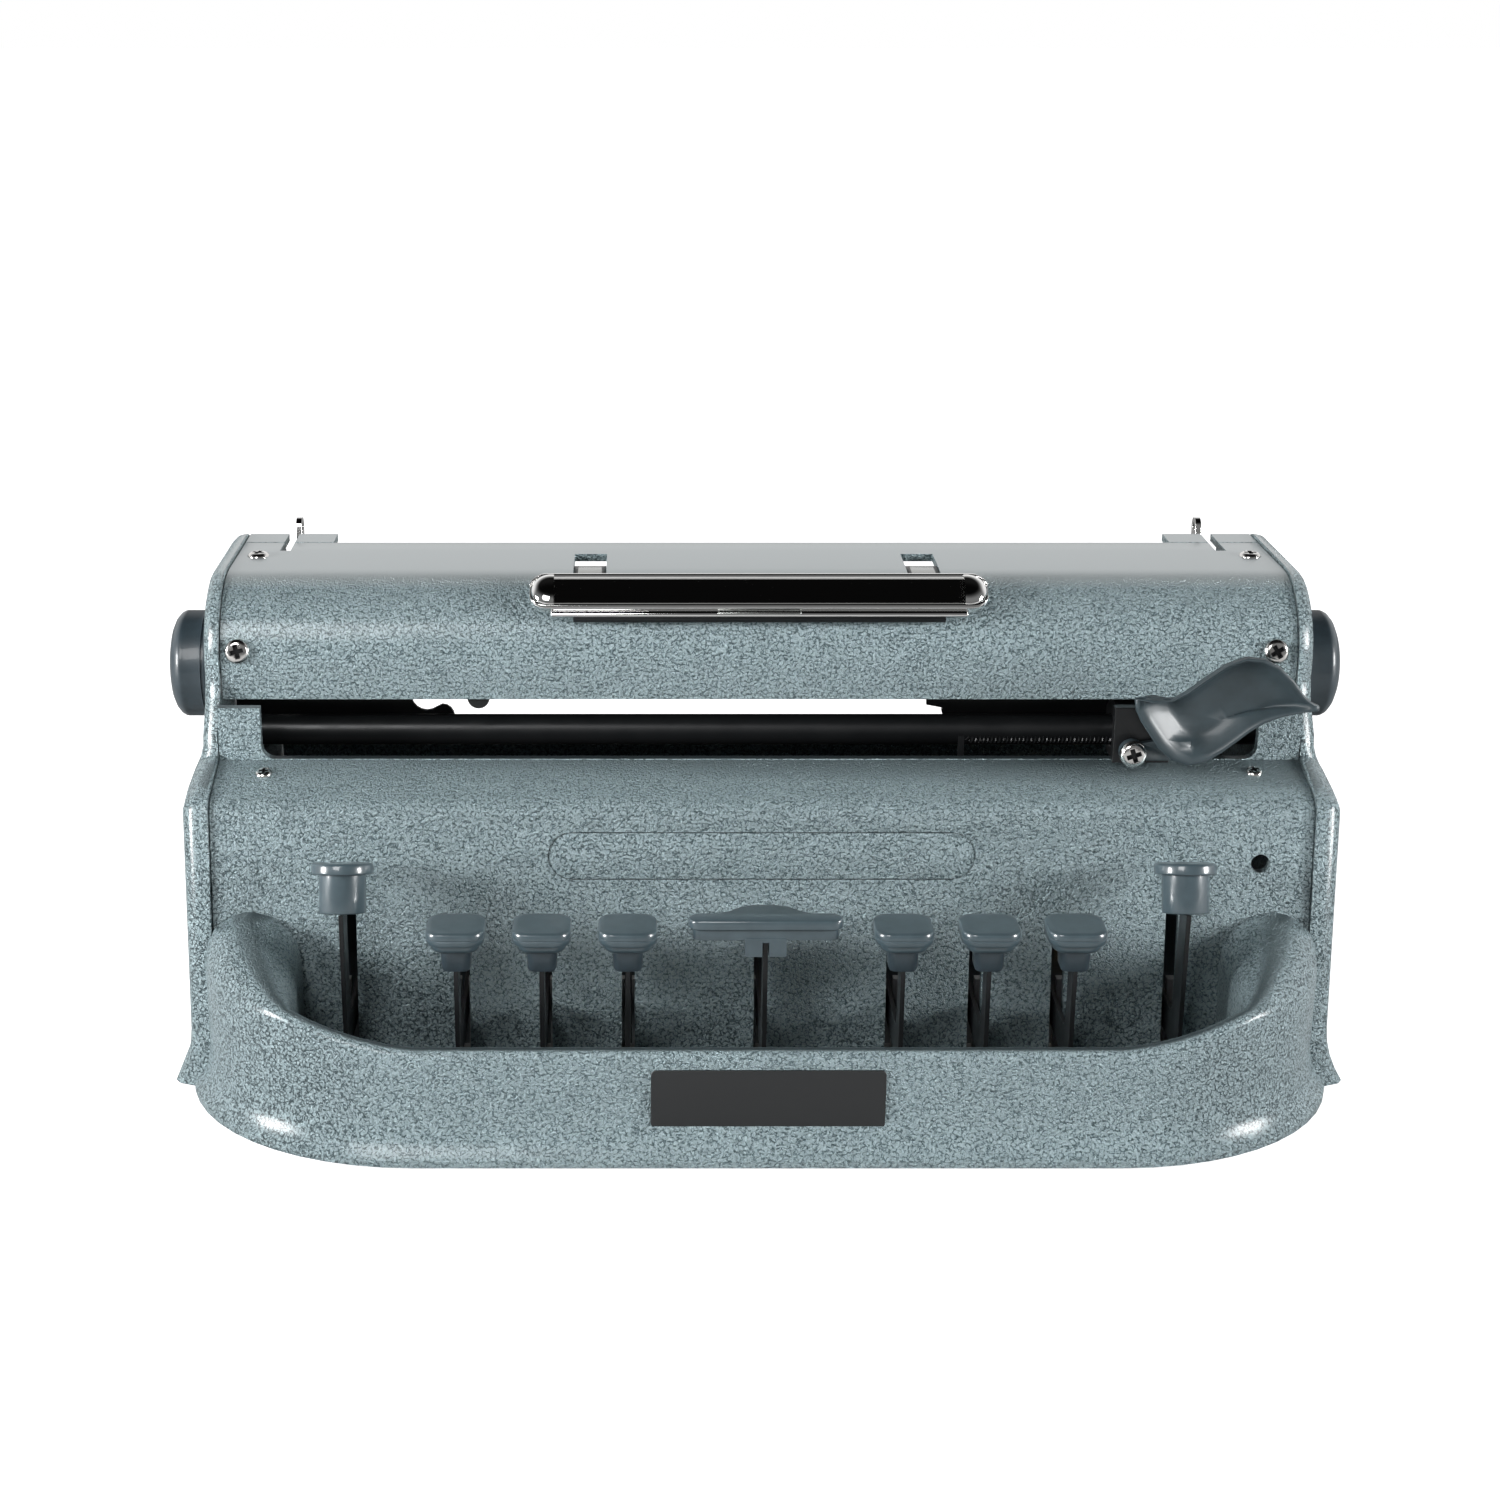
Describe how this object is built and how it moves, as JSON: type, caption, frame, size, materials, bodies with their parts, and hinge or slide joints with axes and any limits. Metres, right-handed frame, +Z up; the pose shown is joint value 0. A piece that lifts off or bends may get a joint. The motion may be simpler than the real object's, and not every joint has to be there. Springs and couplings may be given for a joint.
{
  "type": "braille typewriter",
  "caption": "Cast-housed braille typewriter: dot keys round a space bar behind a curved apron, sliding carriage in a front window, paper roller with side knobs.",
  "frame": {"origin": "on the table, under the middle of the machine's bounding box", "axes": "+X to the typist's right, +Y away from the typist, +Z up"},
  "size_m": [0.381, 0.2286, 0.1524],
  "materials": {
    "hammered_grey": "hammered grey-green enamel on cast aluminium and sheet",
    "slate_plastic": "slate blue-grey moulded plastic, satin",
    "black_steel": "blackened steel, satin",
    "bright_chrome": "polished chrome plate",
    "zinc_steel": "zinc-plated steel, satin",
    "black_rubber": "matt black rubber",
    "brass": "polished brass"
  },
  "bodies": {
    "housing": {"base_casting": "hammered_grey", "front_panel": "hammered_grey", "left_side_panel": "hammered_grey", "right_side_panel": "hammered_grey", "top_cover": "hammered_grey", "rear_panel": "hammered_grey", "paper_table": "zinc_steel", "carriage_rail": "black_steel", "carriage_rack": "black_steel", "left_roller_guide": "black_steel", "right_roller_guide": "black_steel", "key_shaft": "zinc_steel", "lever_comb": "zinc_steel", "margin_bar": "zinc_steel", "line_bell": "brass", "rack_spring": "black_steel", "rest_shaft": "zinc_steel", "front_left_foot": "black_rubber", "front_right_foot": "black_rubber", "rear_left_foot": "black_rubber", "rear_right_foot": "black_rubber"},
    "line_space_key": {"line_space_lever": "black_steel", "line_space_cap": "slate_plastic"},
    "dot_3_key": {"dot_3_lever": "black_steel", "dot_3_cap": "slate_plastic"},
    "dot_2_key": {"dot_2_lever": "black_steel", "dot_2_cap": "slate_plastic"},
    "dot_1_key": {"dot_1_lever": "black_steel", "dot_1_cap": "slate_plastic"},
    "space_key": {"space_lever": "black_steel", "space_cap": "slate_plastic"},
    "dot_4_key": {"dot_4_lever": "black_steel", "dot_4_cap": "slate_plastic"},
    "dot_5_key": {"dot_5_lever": "black_steel", "dot_5_cap": "slate_plastic"},
    "dot_6_key": {"dot_6_lever": "black_steel", "dot_6_cap": "slate_plastic"},
    "backspace_key": {"backspace_lever": "black_steel", "backspace_cap": "slate_plastic"},
    "carriage": {"carriage_body": "black_steel", "embossing_head": "zinc_steel", "lever_bracket": "black_steel"},
    "carriage_hand_lever": {"carriage_lever": "slate_plastic"},
    "feed_roller": {"paper_roller": "black_rubber", "feed_shaft": "zinc_steel", "left_knob": "slate_plastic", "right_knob": "slate_plastic", "ratchet_wheel": "zinc_steel"},
    "left_release": {"left_release_lever": "bright_chrome"},
    "right_release": {"right_release_lever": "bright_chrome"},
    "reading_rest": {"reading_rest_bar": "bright_chrome", "left_rest_arm": "bright_chrome", "right_rest_arm": "bright_chrome"},
    "left_margin": {"left_margin_stop": "bright_chrome"},
    "right_margin": {"right_margin_stop": "bright_chrome"},
    "carrying_handle": {"handle_bail": "zinc_steel", "handle_grip": "black_rubber"},
    "hammer": {"bell_hammer": "zinc_steel"}
  },
  "joints": [
    {"name": "line_space_press", "type": "hinge", "parent": "housing", "child": "line_space_key", "pos_m": [-0.127, 0.06, 0.024], "axis": [1, 0, 0], "range_deg": [0, 4.2], "stiffness_Nm_per_rad": 0.6, "springref_deg": -8.59},
    {"name": "dot_3_press", "type": "hinge", "parent": "housing", "child": "dot_3_key", "pos_m": [-0.0922, 0.06, 0.024], "axis": [1, 0, 0], "range_deg": [0, 4.2], "stiffness_Nm_per_rad": 0.6, "springref_deg": -8.59},
    {"name": "dot_2_press", "type": "hinge", "parent": "housing", "child": "dot_2_key", "pos_m": [-0.0666, 0.06, 0.024], "axis": [1, 0, 0], "range_deg": [0, 4.2], "stiffness_Nm_per_rad": 0.6, "springref_deg": -8.59},
    {"name": "dot_1_press", "type": "hinge", "parent": "housing", "child": "dot_1_key", "pos_m": [-0.041, 0.06, 0.024], "axis": [1, 0, 0], "range_deg": [0, 4.2], "stiffness_Nm_per_rad": 0.6, "springref_deg": -8.59},
    {"name": "space_press", "type": "hinge", "parent": "housing", "child": "space_key", "pos_m": [0, 0.06, 0.024], "axis": [1, 0, 0], "range_deg": [0, 4.2], "stiffness_Nm_per_rad": 0.6, "springref_deg": -8.59},
    {"name": "dot_4_press", "type": "hinge", "parent": "housing", "child": "dot_4_key", "pos_m": [0.041, 0.06, 0.024], "axis": [1, 0, 0], "range_deg": [0, 4.2], "stiffness_Nm_per_rad": 0.6, "springref_deg": -8.59},
    {"name": "dot_5_press", "type": "hinge", "parent": "housing", "child": "dot_5_key", "pos_m": [0.0666, 0.06, 0.024], "axis": [1, 0, 0], "range_deg": [0, 4.2], "stiffness_Nm_per_rad": 0.6, "springref_deg": -8.59},
    {"name": "dot_6_press", "type": "hinge", "parent": "housing", "child": "dot_6_key", "pos_m": [0.0922, 0.06, 0.024], "axis": [1, 0, 0], "range_deg": [0, 4.2], "stiffness_Nm_per_rad": 0.6, "springref_deg": -8.59},
    {"name": "backspace_press", "type": "hinge", "parent": "housing", "child": "backspace_key", "pos_m": [0.127, 0.06, 0.024], "axis": [1, 0, 0], "range_deg": [0, 4.2], "stiffness_Nm_per_rad": 0.6, "springref_deg": -8.59},
    {"name": "carriage_travel", "type": "slide", "parent": "housing", "child": "carriage", "axis": [1, 0, 0], "range_m": [-0.26, 0]},
    {"name": "carriage_lever_tilt", "type": "hinge", "parent": "carriage", "child": "carriage_hand_lever", "pos_m": [0.115, -0.034, 0.1034], "axis": [0, 1, 0], "range_deg": [0, 6], "stiffness_Nm_per_rad": 0.1, "springref_deg": -5.73},
    {"name": "paper_feed", "type": "hinge", "parent": "housing", "child": "feed_roller", "pos_m": [0, 0.02, 0.1153], "axis": [1, 0, 0], "continuous": true},
    {"name": "left_paper_release", "type": "hinge", "parent": "housing", "child": "left_release", "pos_m": [-0.1544, 0.064, 0.112], "axis": [1, 0, 0], "range_deg": [0, 35]},
    {"name": "right_paper_release", "type": "hinge", "parent": "housing", "child": "right_release", "pos_m": [0.1544, 0.064, 0.112], "axis": [1, 0, 0], "range_deg": [0, 35]},
    {"name": "reading_rest_swing", "type": "hinge", "parent": "housing", "child": "reading_rest", "pos_m": [0, 0.0195, 0.1432], "axis": [-1, 0, 0], "range_deg": [0, 95]},
    {"name": "left_margin_slide", "type": "slide", "parent": "housing", "child": "left_margin", "axis": [1, 0, 0], "range_m": [-0.015, 0.09]},
    {"name": "right_margin_slide", "type": "slide", "parent": "housing", "child": "right_margin", "axis": [1, 0, 0], "range_m": [-0.09, 0.015]},
    {"name": "handle_swing", "type": "hinge", "parent": "housing", "child": "carrying_handle", "pos_m": [0, 0.1106, 0.046], "axis": [1, 0, 0], "range_deg": [0, 120]},
    {"name": "bell_hammer_swing", "type": "hinge", "parent": "housing", "child": "hammer", "pos_m": [0.1034, 0.069, 0.0375], "axis": [0, 0, 1], "range_deg": [-3, 20], "stiffness_Nm_per_rad": 0.002}
  ]
}
